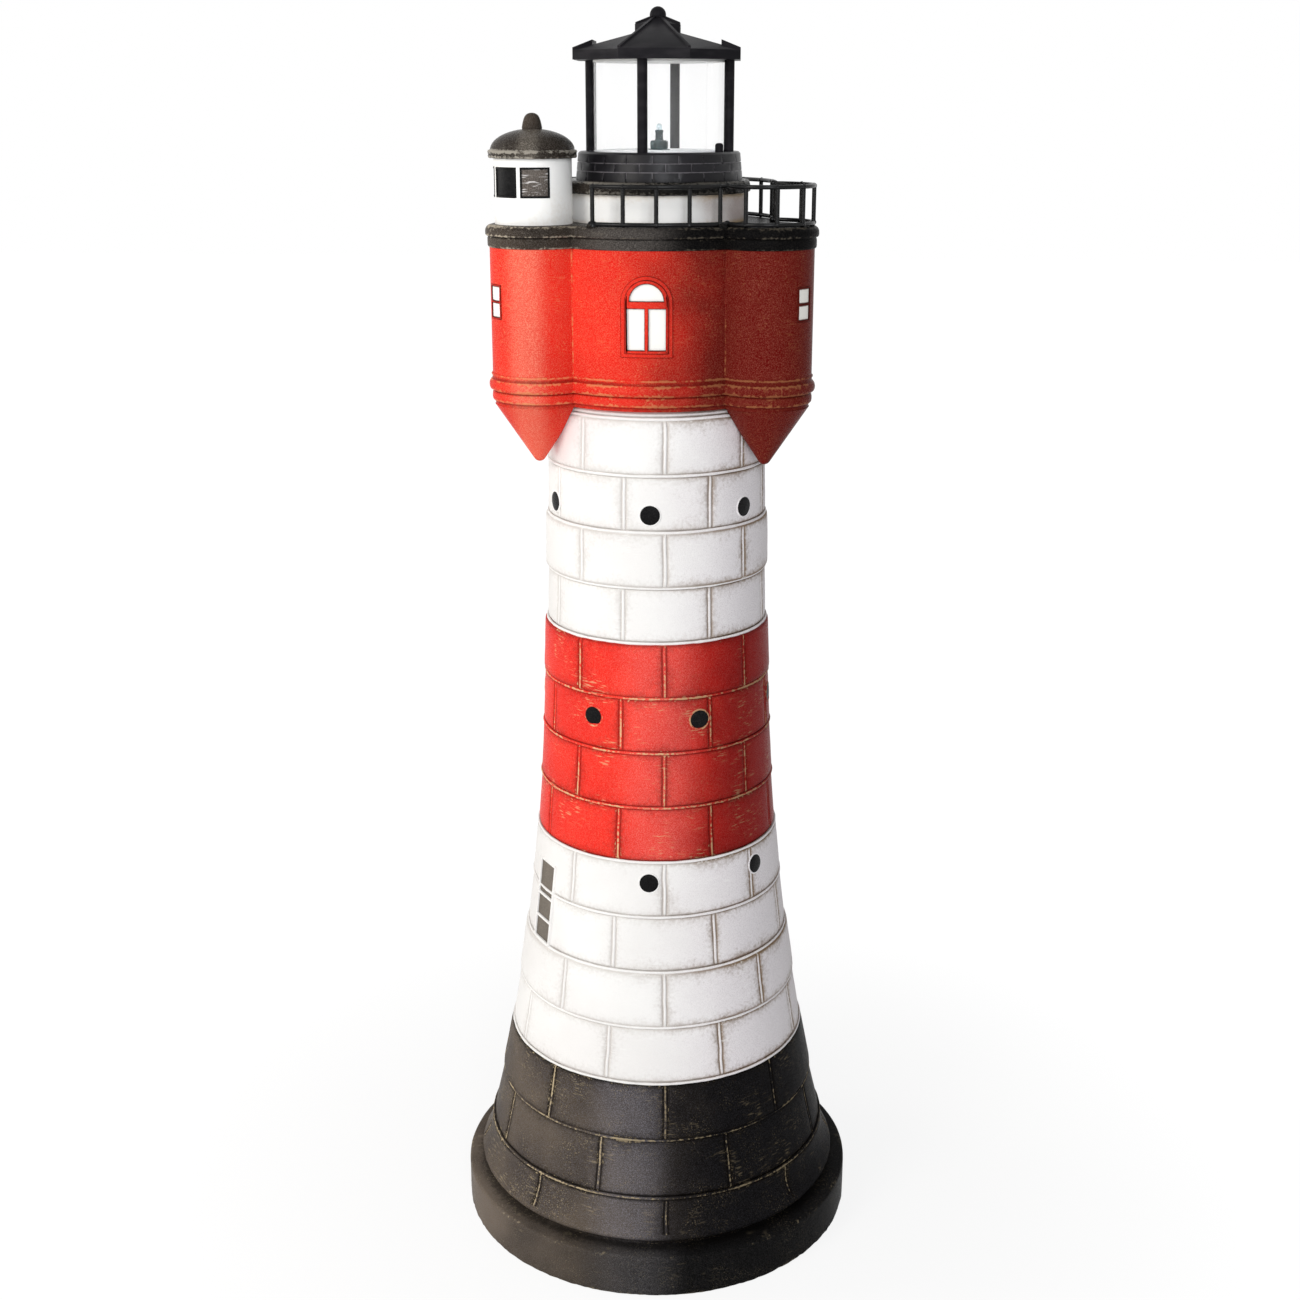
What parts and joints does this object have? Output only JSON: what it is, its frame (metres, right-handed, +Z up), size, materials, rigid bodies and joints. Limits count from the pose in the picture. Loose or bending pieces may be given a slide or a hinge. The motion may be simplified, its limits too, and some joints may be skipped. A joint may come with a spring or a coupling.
{
  "type": "garden lighthouse ornament",
  "caption": "Free-standing garden lighthouse with a coursed tower, round-bayed chamber, railed deck, domed turret and a lift-off solar lantern.",
  "frame": {"origin": "on the ground under the tower's axis, at the centre of the plinth's underside", "axes": "+Z up along the tower's axis; the arched window faces -Y; the turret stands on the bay at -X, -Y and the railed bay is at +X, -Y"},
  "size_m": [0.402, 0.402, 1.2],
  "materials": {
    "white_paint": "satin",
    "red_paint": "satin",
    "black_paint": "satin",
    "window_black": "gloss",
    "window_grey": "satin",
    "window_white": "satin",
    "wire_black": "gloss",
    "lantern_black": "matte",
    "silver_plastic": "satin",
    "white_plastic": "satin",
    "clear_sheet": "gloss",
    "solar_cell": "gloss",
    "steel": "satin",
    "led_body": "satin",
    "lens_clear": "gloss",
    "board_green": "matte",
    "cell_wrap": "satin",
    "lead_red": "matte"
  },
  "bodies": {
    "tower": {"plinth": "black_paint", "base_plate": "black_paint", "base_screws": "steel", "shaft_black": "black_paint", "shaft_white_lower": "white_paint", "shaft_red": "red_paint", "shaft_white_upper": "white_paint", "portholes_upper": "window_black", "portholes_middle": "window_black", "portholes_lower": "window_black", "tall_window_frame": "white_paint", "tall_window_panes": "window_grey", "corbels": "red_paint", "chamber_moulding": "red_paint", "chamber_wall": "red_paint", "arched_window_frame": "red_paint", "arched_window_panes": "window_white", "bay_window_frames": "red_paint", "bay_window_panes": "window_white", "cornice": "black_paint", "lantern_pedestal": "white_paint", "pedestal_coping": "black_paint", "turret_wall": "white_paint", "turret_window_frames": "window_black", "turret_window_panes": "window_grey", "turret_dome": "black_paint", "turret_knob": "black_paint", "front_top_rail": "wire_black", "front_bottom_rail": "wire_black", "front_rail_posts": "wire_black", "bay_top_rail": "wire_black", "bay_bottom_rail": "wire_black", "bay_rail_posts": "wire_black", "rear_top_rail": "wire_black", "rear_bottom_rail": "wire_black", "rear_rail_posts": "wire_black"},
    "lantern": {"brick_ring": "lantern_black", "locating_skirt": "lantern_black", "lantern_floor": "silver_plastic", "lantern_posts": "lantern_black", "glazing": "clear_sheet", "glazing_clip": "lantern_black", "roof": "lantern_black", "finial_ball": "lantern_black", "solar_panels": "solar_cell", "ceiling_plate": "white_plastic", "roof_screws": "steel", "led_holder": "led_body", "led_lens": "lens_clear", "circuit_board": "board_green", "battery_box": "lantern_black", "battery_cell": "cell_wrap", "battery_contacts": "steel", "switch_housing": "steel", "panel_lead": "lead_red"},
    "cover": {"battery_cover": "lantern_black"},
    "switch": {"switch_knob": "lantern_black"}
  },
  "joints": [
    {"name": "lantern_lift", "type": "slide", "parent": "tower", "child": "lantern", "axis": [0, 0, 1], "range_m": [0, 0.08]},
    {"name": "battery_cover_off", "type": "slide", "parent": "lantern", "child": "cover", "axis": [0, 0, -1], "range_m": [0, 0.025]},
    {"name": "switch_slide", "type": "slide", "parent": "lantern", "child": "switch", "axis": [1, 0, 0], "range_m": [0, 0.004]}
  ]
}
